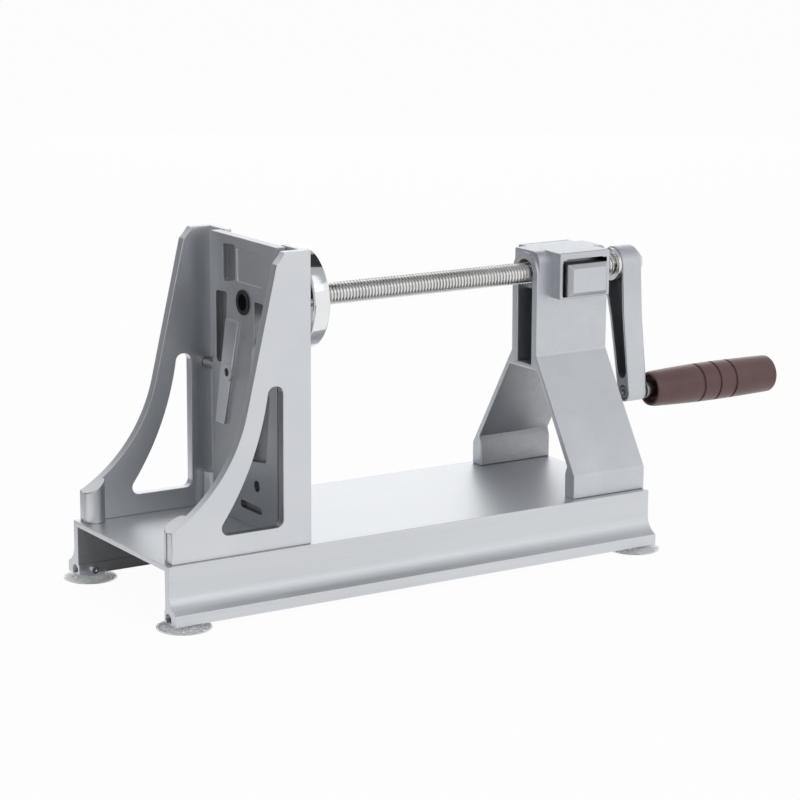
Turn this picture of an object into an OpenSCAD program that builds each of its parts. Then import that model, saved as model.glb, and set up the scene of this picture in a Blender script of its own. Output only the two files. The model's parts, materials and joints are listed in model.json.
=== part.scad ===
// Hand cranked spiral slicer: a lead screw pushes a vegetable onto a fixed blade plate.
// Inside the modules x runs from the blade end of the rail, z from the top of the deck.

/* [Base rail] */
// Length of the base rail
base_length = 305; // [280:1:360]
// Width across the deck
deck_width = 110; // [104:1:124]
// Thickness of the deck
deck_thickness = 3; // [2:0.5:5]
// Thickness of the side walls
wall_thickness = 4.5; // [3:0.5:5.5]
// Height of the rail from its underside to the deck
base_height = 30; // [27:1:40]
// Height of the straight side wall above the flare
straight_wall = 14; // [10:1:18]
// Height of the hollow flare above the foot
flare_height = 10; // [8:0.5:12]
// How far each foot reaches out past the side wall
flare_reach = 7.5; // [6:0.5:9]
// Diameter of the slot that holds the suction cups
slot_diameter = 6.3; // [5.5:0.1:7]
// Height of the slot's centre above the underside
slot_rise = 2.2; // [2:0.1:2.6]
// How far the slot's centre lies inside the deck's edge
slot_inset = 1; // [0.5:0.1:1.5]
// Metal left between the slot and the inside of the foot
slot_wall = 1.3; // [1:0.1:2]

/* [Suction cups] */
// Diameter of a cup's rim
cup_diameter = 29; // [26:1:34]
// Height of the rail's underside above the table
cup_height = 3; // [2.6:0.2:6]
// Distance from a cup's centre to the rail's end
cup_end_gap = 9; // [8:0.5:20]
// Thickness of a cup's skirt
cup_skirt = 1.3; // [1:0.1:1.6]

/* [Brackets] */
// Height of the brackets above the deck
bracket_height = 155; // [148:1:175]
// Length of a bracket along the rail
bracket_length = 82; // [78:1:92]
// Distance from the rail's end to the bracket's toe
bracket_start = 3; // [2:0.5:8]
// Wall thickness of a bracket
bracket_wall = 5.5; // [4.5:0.5:7]
// How far a bracket stands in from the deck's edge
bracket_inset = 2; // [1:0.5:3]
// Length of a bracket's top edge
bracket_top = 15; // [13:0.5:18]
// Lean of the straight part of the front edge, in degrees
edge_lean = 13.3; // [12:0.1:14.5]
// Radius of the hollow front curve
curve_radius = 87; // [80:1:92]
// Height at which the front curve runs into the straight edge
curve_height = 73.6; // [70:0.2:78]
// Length of the step at the front of the top edge
notch_length = 5; // [3:0.5:6]
// Depth of the step at the front of the top edge
notch_drop = 6.2; // [4:0.2:8]
// Width of the rib between the front curve and the window
rib_width = 10.5; // [9:0.5:13]
// Radius of the window's curved side
window_radius = 150; // [135:1:165]
// Width of the post behind the window
rear_post = 16.5; // [14:0.5:20]
// Height of the window's lower edge
window_bottom = 11.3; // [9:0.1:16]
// Height of the window's upper edge
window_top = 86; // [80:1:92]
// Corner radius of the window
window_corner = 4; // [2:0.5:4]
// Thickness of the rear flange that the blade plate is screwed to
flange_thickness = 4; // [3:0.5:6]
// Diameter of the screw posts on the inner faces
post_diameter = 11; // [10:0.5:13]
// Height of the rear screw posts
post_height = 20; // [16:1:30]

/* [Blade plate] */
// Width of the blade plate
plate_width = 70; // [66:1:76]
// Thickness of the blade plate
plate_thickness = 6; // [5.6:0.2:8]
// Step down from the bracket's top to the plate's top
plate_step = 0.5; // [0:0.1:2]
// How far the plate lies over each rear flange
plate_overlap = 5; // [4.5:0.5:6]
// Depth of the pockets cast into the plate
pocket_depth = 3; // [1:0.5:3.5]
// Height of the ribs cast onto the plate
plate_rib = 1.6; // [0.8:0.2:2.4]
// Diameter of the side pins
pin_diameter = 5; // [4:0.2:5.2]
// Height of the side pins above the deck
pin_height = 80; // [76:1:92]
// Outer diameter of the core tube
core_diameter = 12; // [10:0.5:14]
// Bore of the core tube
core_bore = 9; // [6:0.5:9]
// How far the core tube stands out on the slicing side
core_reach = 7; // [4:0.5:8]
// Distance between the slicing blade and the near bracket's flange
blade_gap = 0.8; // [0.4:0.1:3]
// Thickness of the slicing blade
blade_thickness = 1.4; // [1:0.1:1.8]
// How far the cutting edge stands off the plate, which sets the slice
slice_gap = 2.4; // [1.5:0.1:3]

/* [Lead screw] */
// Height of the screw's axis above the deck
axis_height = 120.5; // [116:0.5:124]
// Outer diameter of the lead screw
screw_diameter = 12; // [10:0.5:12]
// Diameter of the spigots at the screw's ends
spigot_diameter = 8; // [7:0.5:9]
// Distance between the plate's slicing side and the pusher disc
disc_gap = 21; // [18:1:40]
// Diameter of the pusher disc
disc_diameter = 56; // [44:1:57]
// Thickness of the pusher disc
disc_thickness = 10.5; // [9:0.5:14]
// Number of prongs
prong_count = 6; // [3:1:8]
// Length of the prongs
prong_length = 11; // [6:0.5:12]
// Diameter of the prongs
prong_diameter = 3; // [2:0.5:4]
// Radius of the circle that the prongs stand on
prong_circle = 17; // [12:0.5:20]

/* [Tailstock] */
// Length of the tailstock along the rail
tail_length = 49; // [46:1:60]
// Width of the column
column_width = 24; // [24:1:30]
// Height of the tailstock's top above the screw's axis
crown_rise = 13; // [11.5:0.5:20]
// Height at which the column turns into the legs
knee_height = 75; // [68:1:82]
// Width across the feet
feet_width = 101.2; // [92:0.4:104]
// Height of the upright foot
foot_height = 13; // [10:1:18]
// Thickness of a foot
foot_thickness = 9.2; // [8.4:0.2:12]
// Thickness of the splayed legs, measured along the deck
leg_thickness = 4.3; // [3.4:0.1:6]
// Thickness of the column's walls
column_wall = 5; // [3.5:0.5:6]
// Metal left between the column's recess and the guide bushes
recess_roof = 2; // [1.5:0.5:5]
// How far the column's front shoulders stand back behind the arch about the screw
shoulder_step = 1.6; // [1:0.2:3]
// Radius of the round along the column's top edge on the button's side
crown_round = 7; // [3:0.5:9]
// Wall thickness of the guide bushes
bush_wall = 2; // [1.5:0.1:2.2]

/* [Release button] */
// Width of the button's body along the rail
button_width = 24.6; // [22:0.2:26]
// Height of the button's body
button_height = 18; // [17.8:0.2:19]
// Width of the button's head
head_width = 27.2; // [25:0.2:28]
// Height of the button's head
head_height = 18.2; // [17:0.2:19.6]
// How far the head's middle lies below the screw's axis
head_drop = 2.4; // [1:0.1:2.8]
// How far the button stands out of its housing
button_proud = 5; // [4.5:0.5:7]
// Travel of the button
button_travel = 3; // [2:0.5:3.5]
// Bevel around the button's face
button_bevel = 2.4; // [1:0.2:3.4]
// Room between the button's head and the top of the housing's mouth
mouth_room = 1.9; // [0.6:0.1:2.4]
// Room between the button's head and each side of the mouth
mouth_side = 1.3; // [0.5:0.1:1.5]
// Wall of the housing beside the button's body
housing_wall = 4.8; // [4.4:0.2:6]
// How far the housing stands out of the column
housing_reach = 9; // [7:0.5:11]
// How far the spring chest stands out at the far side
chest_reach = 5.5; // [4.5:0.5:7]
// Thickness of the spring cover
cover_thickness = 2.2; // [1.6:0.2:3]
// Wall thickness of the half nut
nut_wall = 1.4; // [1.1:0.1:1.5]
// Mean diameter of the spring
spring_diameter = 5.4; // [4:0.2:6]
// Wire diameter of the spring
spring_wire = 0.8; // [0.6:0.1:1]
// Number of turns of the spring
spring_turns = 4; // [3:0.5:5]

/* [Crank] */
// Distance from the tailstock to the crank arm
crank_gap = 12.5; // [8:0.5:20]
// Thickness of the crank arm
arm_thickness = 14; // [11:0.5:18]
// Distance between the screw's axis and the grip's axis
crank_radius = 74.4; // [60:0.2:90]
// Lean of the arm from straight down, in degrees
crank_lean = 10; // [0:0.5:30]
// Radius of the arm's hub end
hub_radius = 10.2; // [9.6:0.2:12]
// Radius of the arm's grip end
tip_radius = 5.4; // [5.2:0.1:6.6]
// Half the arm's width at its waist
waist_radius = 7; // [6.6:0.1:8.5]
// Distance from the hub to the waist
waist_drop = 30; // [22:1:40]
// Width of the rim around the arm's hollow side
arm_rim = 1.8; // [1.4:0.1:2.6]
// Depth of the arm's hollow side
arm_hollow = 8; // [3:0.5:9]
// Thickness of the stop washer beside the arm
washer_thickness = 2; // [1.5:0.1:3]

/* [Grip] */
// Length of the grip
grip_length = 88; // [80:1:110]
// Largest diameter of the grip
grip_diameter = 22.8; // [21:0.2:26]
// Diameter of the grip at the arm
grip_root = 20.4; // [19:0.2:24]
// Depth of the hollow in the grip's end at the arm
grip_hollow = 4; // [2:0.5:8]
// Diameter of the grip at its outer end
grip_end = 21.6; // [19:0.2:24]
// Distance between the arm and the grip
grip_gap = 4.8; // [3:0.2:8]
// Diameter of the grip's axle
axle_diameter = 7; // [6:0.5:8]
// Number of ring grooves
groove_count = 3; // [1:1:4]
// Distance between ring grooves
groove_step = 11.5; // [8:0.5:14]
// How far the middle groove lies past the grip's middle
groove_shift = 3.6; // [0:0.2:6]
// Width of a ring groove
groove_width = 1.4; // [1:0.1:2]

/* [Fits] */
// Radial clearance of a running fit
running_fit = 0.06; // [0.03:0.01:0.09]
// Clearance of a sliding flat face
sliding_fit = 0.2; // [0.15:0.05:0.3]
// Radial clearance of a seated pin, screw or plug
seat_fit = 0.04; // [0.02:0.01:0.08]

/* [Hidden] */
$fn = 96;
cut = 1;

// Colours
aluminium = [0.78, 0.80, 0.83];
cast_aluminium = [0.62, 0.64, 0.67];
steel = [0.72, 0.71, 0.69];
chrome = [0.86, 0.87, 0.88];
bronze = [0.66, 0.52, 0.32];
dark_plastic = [0.10, 0.10, 0.11];
brown = [0.36, 0.26, 0.25];
clear_grey = [0.80, 0.82, 0.83];

// Base rail
half_deck = deck_width / 2;
wall_inner = half_deck - wall_thickness;
flare_radius = (flare_height * flare_height + flare_reach * flare_reach) / (2 * flare_reach);
foot_outer = half_deck + flare_reach;
slot_y = half_deck - slot_inset;
slot_z = slot_rise - base_height;
foot_inner = slot_y - slot_diameter / 2 - slot_wall;
foot_top = straight_wall + flare_height;
cup_places = [cup_end_gap, base_length - cup_end_gap];

// Screw sizes: shank diameter, head diameter, head height
deck_screw = [4.2, 8, 2.6];
flange_screw = [3, 5.6, 2];
blade_screw = [3, 5.4, 1.6];
cover_screw = [2.4, 4, 1.4];
lock_screw = [2.2, 4, 1.8];
disc_screw_size = [3, 9, 2.4];
crank_screw_size = [4.2, 8.6, 3.4];
deck_screw_grip = 12;
cover_screw_grip = 4;
end_gap = 0.4;
head_gap = 0.3;
end_bore = 12;
crank_washer_thickness = 1.2;
screw_point = 0.4;
socket_depth = 0.6;
tangent_sink = 0.03;

// Brackets
bracket_end = bracket_start + bracket_length;
bracket_outer = half_deck - bracket_inset;
bracket_inner = bracket_outer - bracket_wall;
edge_top_x = bracket_end - bracket_top - notch_length;
edge_top_z = bracket_height - notch_drop;
edge_low_x = edge_top_x - (edge_top_z - curve_height) * tan(edge_lean);
edge_normal = [-cos(edge_lean), sin(edge_lean)];
curve_centre = [edge_low_x, curve_height] + curve_radius * edge_normal;
window_centre = [edge_low_x, curve_height] + (window_radius - rib_width) * edge_normal;
window_right = bracket_end - rear_post;
flange_x = bracket_end - flange_thickness;
flange_edge = plate_width / 2 - plate_overlap;
post_front_x = bracket_start + post_diameter / 2;
post_rear_x = bracket_end - post_diameter / 2;
post_front_y = wall_inner - deck_screw[1] / 2 - head_gap;
post_rear_y = bracket_inner - post_diameter / 2 + 1;

// Blade plate
plate_x = flange_x - plate_thickness;
plate_top = bracket_height - plate_step;
half_plate = plate_width / 2;
plate_screw_y = half_plate - plate_overlap / 2;
plate_screw_z = [18, 52, plate_top - 18];
plate_screw_grip = plate_thickness - 1.4;
pin_seat = 3;
pin_depth = 5;
pin_gap = 0.1;
core_radius = core_diameter / 2;
core_lip = 0.8;
core_mouth = 3;
core_edge = 0.2;
blade_inner_y = core_radius + 1.2;
blade_length = flange_edge - blade_gap - blade_inner_y;
blade_edge_z = axis_height - 8;
slot_top_z = axis_height + 2;
slot_low_z = axis_height - 20.5;
exit_width = blade_length - 4;
blade_land = 9;
blade_land_z = slot_top_z + 1.5;
blade_screw_inset = 6;
blade_screw_places = [blade_inner_y + blade_screw_inset, blade_inner_y + blade_length - blade_screw_inset];

// Casting of the plate's outer face, with points as [y, z]
pocket_corner = 1.6;
panel_depth = 0.8;
upper_pocket = [[9, plate_top - 4.5], [22, plate_top - 5.5],
    [22, axis_height + 8.3], [9, axis_height + 10.5]];
upper_panel = [[7, plate_top - 6], [-25, plate_top - 6],
    [-20, axis_height + 10.5], [7, axis_height + 10.5]];
side_pocket = [[18, axis_height + 3], [30.5, axis_height + 2], [30.5, axis_height - 36],
    [25.3, axis_height - 36.5], [19.6, axis_height - 19.5]];
ramp_panel = [[-10, slot_low_z - 1.5], [-28, slot_low_z - 1.5],
    [-25, slot_low_z - 20], [-6, slot_low_z - 20]];
near_pocket = [[-27.5, 75], [-23, 38], [-6, 36], [-6, 66], [-16, 75]];
foot_pocket = [[-18, 12.5], [5, 12.5], [5, 8.5], [-18, 8.5]];
slant_rib = [[3, axis_height - 11], [17, axis_height - 11],
    [29.6, axis_height - 69.5], [19.6, axis_height - 69.5]];
rib_boss = [15.4, axis_height - 40];
boss_rise = plate_rib + 0.6;
boss_face = 5;
boss_hole = 2.2;
dowel_hole = [-12.9, 23.3];
dowel_radius = 3;

// Lead screw
screw_radius = screw_diameter / 2;
disc_x = flange_x + disc_gap;
disc_back = disc_x + disc_thickness;
disc_skin = 3;
spigot_length = disc_thickness - disc_skin;
prong_seat = 5;
prong_point = 4;
prong_tip = 0.2;
disc_edge = 1;
tail_end = base_length;
tail_start = base_length - tail_length;
arm_x = tail_end + crank_gap;
arm_back = arm_x + arm_thickness;

// Tailstock
half_column = column_width / 2;
half_feet = feet_width / 2;
tail_height = axis_height + crown_rise;
arch_z = knee_height - 9;
recess_low = arch_z + 3;
bush_radius = screw_radius + bush_wall;
recess_top = axis_height - bush_radius - recess_roof;
rear_wall = 3;
arc_step = 7.5;
housing_mid = tail_start + tail_length / 2 + 2;
housing_width = button_width + 2 * housing_wall;
mouth_wall = 1.4;
mouth_gap = 0.3;
mouth_stop = 0.5;
head_low = axis_height - head_drop - head_height / 2;
head_seat = 7;
mouth_low = head_low - mouth_gap;
mouth_top = head_low + head_height + mouth_room;
mouth_depth = head_seat + button_travel + mouth_stop;
mouth_width = head_width + 2 * mouth_side;
housing_low = mouth_low - mouth_wall;
channel_x = housing_mid - button_width / 2 - sliding_fit;
bush_sunk = (channel_x - tail_start) / 2;
channel_width = button_width + 2 * sliding_fit;
channel_half = button_height / 2 + sliding_fit;
collar_step = 1.5;
chest_half = channel_half + collar_step;
housing_face = half_column + housing_reach;
chest_face = half_column + chest_reach;
tail_screw_x = [tail_start + 10, tail_end - 10];
tail_screw_y = half_feet - foot_thickness / 2;

// Release button
nut_radius = screw_radius + running_fit + nut_wall;
collar_front = nut_radius + 2.2;
collar_length = 3;
block_end = collar_front + collar_length;
spring_seat = collar_front - 0.8;
spring_bore = spring_diameter + spring_wire + 0.8;
spring_length = chest_face - spring_seat;
face_y = -(housing_face + button_proud);
cover_screw_reach = button_width / 2 + sliding_fit + (housing_wall - sliding_fit) / 2;

// Crank and grip
grip_x = arm_back + grip_gap;
grip_tip = grip_x + grip_length;
grip_y = -crank_radius * sin(crank_lean);
grip_z = axis_height - crank_radius * cos(crank_lean);
axle_radius = axle_diameter / 2;
axle_thread = axle_radius - 1.5;
axle_head_x = grip_tip - 14;
axle_head_radius = axle_radius + 1.8;
axle_head = 2.4;
axle_collar = axle_radius + 1.6;
hub_rim = 0.8;
tip_land = 1.6;
pocket_length = crank_radius - 2 * tip_radius - tip_land;
pocket_share = (pocket_length - waist_drop) / (crank_radius - waist_drop);
pocket_tip = waist_radius + (tip_radius - waist_radius) * pocket_share - arm_rim;
crank_washer_step = 2.4;
axle_nut_radius = axle_thread + 1.8;
nut_height = 3.2;
nut_sunk = 0.4;
nut_room = 0.3;
grip_wall = 1.8;
cap_radius = axle_head_radius + 0.6;
cap_floor = axle_head_x + axle_head + 1;

// Place of the whole object: on the table, with its box centred along the rail
low_x = cup_end_gap - cup_diameter / 2;
high_x = grip_tip;
middle_x = (min(low_x, 0) + high_x) / 2;
deck_z = base_height + cup_height;

module placed(tint) {
    color(tint) translate([-middle_x, 0, deck_z]) children();
}

// A round bar along x, y or z that starts at a point
module bar_x(start, length, radius) {
    translate(start) rotate([0, 90, 0]) cylinder(h = length, r = radius);
}

module bar_y(start, length, radius) {
    translate(start) rotate([-90, 0, 0]) cylinder(h = length, r = radius);
}

module bar_z(start, length, radius) {
    translate(start) cylinder(h = length, r = radius);
}

// A screw whose head seats at the origin and whose shank runs up along z
module screw(size, length) {
    radius = size[0] / 2;
    difference() {
        union() {
            cylinder(h = length - screw_point, r = radius);
            translate([0, 0, length - screw_point])
                cylinder(h = screw_point, r1 = radius, r2 = radius - screw_point);
            translate([0, 0, -size[2]]) cylinder(h = size[2], r = size[1] / 2);
        }
        translate([0, 0, -size[2] - cut]) cylinder(h = socket_depth + cut, r = size[0] * 0.45, $fn = 6);
    }
}

// Children drawn for the near side, laid at the far side
module far_side() {
    mirror([0, 1, 0]) children();
}

// Profile of one half of the rail, across the rail
module rail_half() {
    difference() {
        union() {
            translate([0, -deck_thickness]) square([half_deck, deck_thickness]);
            translate([wall_inner, -base_height]) square([wall_thickness, base_height]);
            difference() {
                translate([half_deck - cut, -foot_top]) square([flare_reach + cut, flare_height]);
                translate([half_deck + flare_radius, -straight_wall]) circle(r = flare_radius);
            }
            translate([foot_inner, -base_height]) square([foot_outer - foot_inner, base_height - foot_top]);
        }
        translate([slot_y, slot_z]) circle(d = slot_diameter);
    }
}

module deck_holes() {
    radius = deck_screw[0] / 2 + seat_fit;
    for (side = [-1, 1]) {
        bar_z([post_front_x, side * post_front_y, -deck_thickness - cut], deck_thickness + 2 * cut, radius);
        bar_z([post_rear_x, side * post_rear_y, -deck_thickness - cut], deck_thickness + 2 * cut, radius);
        for (x = tail_screw_x)
            bar_z([x, side * tail_screw_y, -deck_thickness - cut], deck_thickness + 2 * cut, radius);
    }
}

module base_rail() {
    placed(aluminium) difference() {
        rotate([90, 0, 90]) linear_extrude(base_length) {
            rail_half();
            mirror([1, 0]) rail_half();
        }
        deck_holes();
        for (x = cup_places) for (side = [-1, 1])
            rotate([0, 0, side > 0 ? 0 : 180])
                bar_y([side * x, foot_inner - cut, slot_z], slot_wall + 2 * cut,
                    lock_screw[0] / 2 + seat_fit);
    }
}

// Outline of a bracket seen from the side
module bracket_outline() {
    difference() {
        translate([bracket_start, 0]) square([bracket_length, bracket_height]);
        translate(curve_centre) circle(r = curve_radius, $fn = 180);
        polygon([
            curve_centre,
            [edge_low_x, curve_height],
            [edge_top_x, edge_top_z],
            [edge_top_x + notch_length * 0.62, edge_top_z + notch_drop * 0.55],
            [edge_top_x + notch_length, bracket_height],
            [edge_top_x + notch_length, bracket_height + cut],
            [curve_centre[0], bracket_height + cut]
        ]);
    }
}

module window_outline() {
    offset(r = window_corner, $fn = 32) offset(delta = -window_corner) difference() {
        translate([bracket_start, window_bottom])
            square([window_right - bracket_start, window_top - window_bottom]);
        translate(window_centre) circle(r = window_radius, $fn = 180);
    }
}

// The near bracket, whose outer face looks along -y
module bracket() {
    difference() {
        union() {
            translate([0, -bracket_inner, 0]) rotate([90, 0, 0]) linear_extrude(bracket_wall) difference() {
                bracket_outline();
                window_outline();
            }
            translate([flange_x, -bracket_inner, 0])
                cube([flange_thickness, bracket_inner - flange_edge, bracket_height]);
            intersection() {
                bar_z([post_front_x, -post_front_y, 0], bracket_height, post_diameter / 2);
                rotate([90, 0, 0]) linear_extrude(bracket_outer) bracket_outline();
            }
            bar_z([post_rear_x, -post_rear_y, 0], post_height, post_diameter / 2);
        }
        bar_z([post_front_x, -post_front_y, -cut], deck_screw_grip + cut, deck_screw[0] / 2 + seat_fit);
        bar_z([post_rear_x, -post_rear_y, -cut], deck_screw_grip + cut, deck_screw[0] / 2 + seat_fit);
        bar_y([plate_x + plate_thickness / 2, -bracket_inner - pin_seat, pin_height],
            pin_seat + cut, pin_diameter / 2 + seat_fit);
        for (z = plate_screw_z)
            bar_x([flange_x - cut, -plate_screw_y, z], flange_thickness + 2 * cut,
                flange_screw[0] / 2 + seat_fit);
    }
}

module near_bracket() {
    placed(aluminium) bracket();
}

module far_bracket() {
    placed(aluminium) far_side() bracket();
}

module bracket_screws() {
    placed(steel) for (side = [-1, 1]) {
        translate([post_front_x, side * post_front_y, -deck_thickness])
            screw(deck_screw, deck_thickness + deck_screw_grip - end_gap);
        translate([post_rear_x, side * post_rear_y, -deck_thickness])
            screw(deck_screw, deck_thickness + deck_screw_grip - end_gap);
    }
}

// A pocket in the plate's outer face, drawn on that face as [y, z]
module plate_pocket(points, depth) {
    translate([plate_x - cut, 0, 0]) rotate([90, 0, 90]) linear_extrude(depth + cut)
        offset(r = pocket_corner, $fn = 24) offset(delta = -pocket_corner) polygon(points);
}

// The slanting rib and the drilled boss on it
module plate_ribs() {
    translate([plate_x - plate_rib, 0, 0]) rotate([90, 0, 90])
        linear_extrude(plate_rib + cut) polygon(slant_rib);
    bar_x([plate_x - boss_rise, rib_boss[0], rib_boss[1]], boss_rise + cut, boss_face);
}

module blade_plate() {
    placed(cast_aluminium) difference() {
        union() {
            translate([plate_x, -half_plate, 0]) cube([plate_thickness, plate_width, plate_top]);
            plate_ribs();
        }
        for (points = [upper_pocket, side_pocket, near_pocket, foot_pocket])
            plate_pocket(points, pocket_depth);
        for (points = [upper_panel, ramp_panel]) plate_pocket(points, panel_depth);
        bar_x([plate_x - boss_rise - cut, rib_boss[0], rib_boss[1]], boss_rise + cut + pocket_depth,
            boss_hole);
        bar_x([plate_x - cut, dowel_hole[0], dowel_hole[1]], cut + pocket_depth, dowel_radius);
        bar_x([plate_x - cut, 0, axis_height], plate_thickness + 2 * cut, core_radius + seat_fit);
        translate([plate_x - cut, -blade_inner_y - blade_length, slot_low_z])
            cube([plate_thickness + 2 * cut, exit_width, slot_top_z - slot_low_z]);
        for (side = [-1, 1]) {
            bar_y([plate_x + plate_thickness / 2, side * half_plate - (side > 0 ? pin_depth : cut),
                pin_height], pin_depth + cut, pin_diameter / 2 + seat_fit);
            for (z = plate_screw_z)
                bar_x([flange_x - plate_screw_grip, side * plate_screw_y, z], plate_screw_grip + cut,
                    flange_screw[0] / 2 + seat_fit);
        }
        for (y = blade_screw_places)
            bar_x([flange_x - plate_screw_grip, -y, blade_land_z + blade_land / 2], plate_screw_grip + cut,
                blade_screw[0] / 2 + seat_fit);
    }
}

module plate_pins() {
    start = half_plate - pin_depth + pin_gap;
    length = bracket_inner + pin_seat - pin_gap - start;
    placed(steel) {
        bar_y([plate_x + plate_thickness / 2, start, pin_height], length, pin_diameter / 2);
        far_side() bar_y([plate_x + plate_thickness / 2, start, pin_height], length, pin_diameter / 2);
    }
}

module plate_screws() {
    placed(steel) for (side = [-1, 1]) for (z = plate_screw_z)
        translate([bracket_end, side * plate_screw_y, z]) rotate([0, -90, 0])
            screw(flange_screw, flange_thickness + plate_screw_grip - end_gap);
}

module core_tube() {
    placed(dark_plastic) difference() {
        union() {
            bar_x([plate_x, 0, axis_height], plate_thickness + core_reach, core_radius);
            bar_x([plate_x - core_lip, 0, axis_height], core_lip, core_radius + core_lip);
        }
        bar_x([plate_x - core_lip - cut, 0, axis_height], core_lip + plate_thickness + core_reach + 2 * cut,
            core_bore / 2);
        translate([flange_x + core_reach, 0, axis_height]) rotate([0, -90, 0])
            cylinder(h = core_mouth, r1 = core_radius - core_edge, r2 = core_bore / 2);
    }
}

// The blade's section: a flat land on the plate, bent out to the cutting edge
module slicing_blade() {
    placed(steel) difference() {
        translate([flange_x, -blade_inner_y, 0]) rotate([90, 0, 0]) linear_extrude(blade_length) polygon([
            [0, blade_land_z + blade_land],
            [0, blade_land_z],
            [slice_gap, blade_edge_z],
            [blade_thickness, blade_land_z + 0.2],
            [blade_thickness, blade_land_z + blade_land]
        ]);
        for (y = blade_screw_places)
            bar_x([flange_x - cut, -y, blade_land_z + blade_land / 2], blade_thickness + 2 * cut,
                blade_screw[0] / 2 + seat_fit);
    }
}

module blade_screws() {
    placed(steel) for (y = blade_screw_places)
        translate([flange_x + blade_thickness, -y, blade_land_z + blade_land / 2]) rotate([0, -90, 0])
            screw(blade_screw, blade_thickness + plate_screw_grip - end_gap);
}

// One half of the tailstock's profile, across the rail, with a round at its top corner
module tail_half(round) {
    slope = (half_feet - half_column) / (knee_height - foot_height);
    inner_top = half_column + (knee_height - arch_z) * slope - leg_thickness;
    shoulder = foot_height + 4.5;
    inner_low = half_column + (knee_height - shoulder) * slope - leg_thickness;
    foot = [
        [0, tail_height],
        [0, arch_z],
        [inner_top, arch_z],
        [inner_low, shoulder],
        [half_feet - foot_thickness, foot_height - 1],
        [half_feet - foot_thickness, 0],
        [half_feet, 0],
        [half_feet, foot_height],
        [half_column, knee_height]
    ];
    corner = [half_column - round, tail_height - round];
    polygon(concat(foot, round > 0
        ? [for (a = [0 : arc_step : 90]) corner + round * [cos(a), sin(a)]]
        : [corner]));
}

// The column's two front shoulders, outside an arch about the screw
module shoulders() {
    side = half_column + cut;
    top = tail_height + cut;
    polygon(concat(
        [for (a = [0 : arc_step : 180]) [half_column * cos(a), axis_height + half_column * sin(a)]],
        [[-side, axis_height], [-side, top], [side, top], [side, axis_height]]
    ));
}

module button_channel() {
    translate([housing_mid - mouth_width / 2, -housing_face - cut, mouth_low])
        cube([mouth_width, mouth_depth + cut, mouth_top - mouth_low]);
    translate([channel_x, -housing_face - cut, axis_height - channel_half])
        cube([channel_width, housing_face + chest_face + 2 * cut, 2 * channel_half]);
    translate([channel_x, collar_front - 0.05, axis_height - chest_half])
        cube([channel_width, chest_face - collar_front + 0.05 + cut, 2 * chest_half]);
}

module tailstock() {
    placed(cast_aluminium) difference() {
        union() {
            translate([tail_start, 0, 0]) rotate([90, 0, 90]) linear_extrude(tail_length) {
                tail_half(0);
                mirror([1, 0]) tail_half(crown_round);
            }
            translate([housing_mid - housing_width / 2, -housing_face, housing_low])
                cube([housing_width, housing_face + chest_face, tail_height - housing_low]);
        }
        translate([tail_start - cut, 0, 0]) rotate([90, 0, 90])
            linear_extrude(shoulder_step + cut) shoulders();
        translate([tail_start - cut, -half_column + column_wall, recess_low])
            cube([tail_length - rear_wall + cut, column_width - 2 * column_wall, recess_top - recess_low]);
        translate([tail_start - cut, -half_column + column_wall, recess_low])
            cube([bush_sunk + cut, column_width - 2 * column_wall, axis_height - recess_low]);
        button_channel();
        bar_x([tail_start - cut, 0, axis_height], tail_length + 2 * cut, bush_radius + seat_fit);
        for (side = [-1, 1]) for (x = tail_screw_x)
            bar_z([x, side * tail_screw_y, -cut], deck_screw_grip + cut, deck_screw[0] / 2 + seat_fit);
        for (side = [-1, 1])
            bar_y([housing_mid + side * cover_screw_reach, chest_face - cover_screw_grip, axis_height],
                cover_screw_grip + cut,
                cover_screw[0] / 2 + seat_fit);
    }
}

module tailstock_screws() {
    placed(steel) for (side = [-1, 1]) for (x = tail_screw_x)
        translate([x, side * tail_screw_y, -deck_thickness])
            screw(deck_screw, deck_thickness + deck_screw_grip - end_gap);
}

module bush(start, length) {
    placed(steel) difference() {
        bar_x([start, 0, axis_height], length, bush_radius);
        bar_x([start - cut, 0, axis_height], length + 2 * cut, screw_radius + running_fit);
    }
}

module front_bush() {
    bush(tail_start + bush_sunk, channel_x - tail_start - bush_sunk - sliding_fit);
}

module rear_bush() {
    start = channel_x + channel_width + sliding_fit;
    bush(start, tail_end - start);
}

module spring_cover() {
    placed(cast_aluminium) difference() {
        translate([housing_mid - housing_width / 2, chest_face, housing_low])
            cube([housing_width, cover_thickness, tail_height - housing_low]);
        for (side = [-1, 1])
            bar_y([housing_mid + side * cover_screw_reach, chest_face - cut, axis_height],
                cover_thickness + 2 * cut, cover_screw[0] / 2 + seat_fit);
    }
}

module cover_screws() {
    placed(steel) for (side = [-1, 1])
        translate([housing_mid + side * cover_screw_reach, chest_face + cover_thickness, axis_height])
            rotate([90, 0, 0]) screw(cover_screw, cover_thickness + cover_screw_grip - end_gap);
}

// The head that is pressed, with a bevel around its face
module button_head() {
    back_y = head_seat - housing_face;
    translate([housing_mid - head_width / 2, face_y + button_bevel, head_low])
        cube([head_width, back_y - face_y - button_bevel, head_height]);
    hull() {
        translate([housing_mid - head_width / 2, face_y + button_bevel, head_low])
            cube([head_width, 0.01, head_height]);
        translate([housing_mid - head_width / 2 + button_bevel, face_y, head_low + button_bevel])
            cube([head_width - 2 * button_bevel, 0.01, head_height - 2 * button_bevel]);
    }
}

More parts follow.
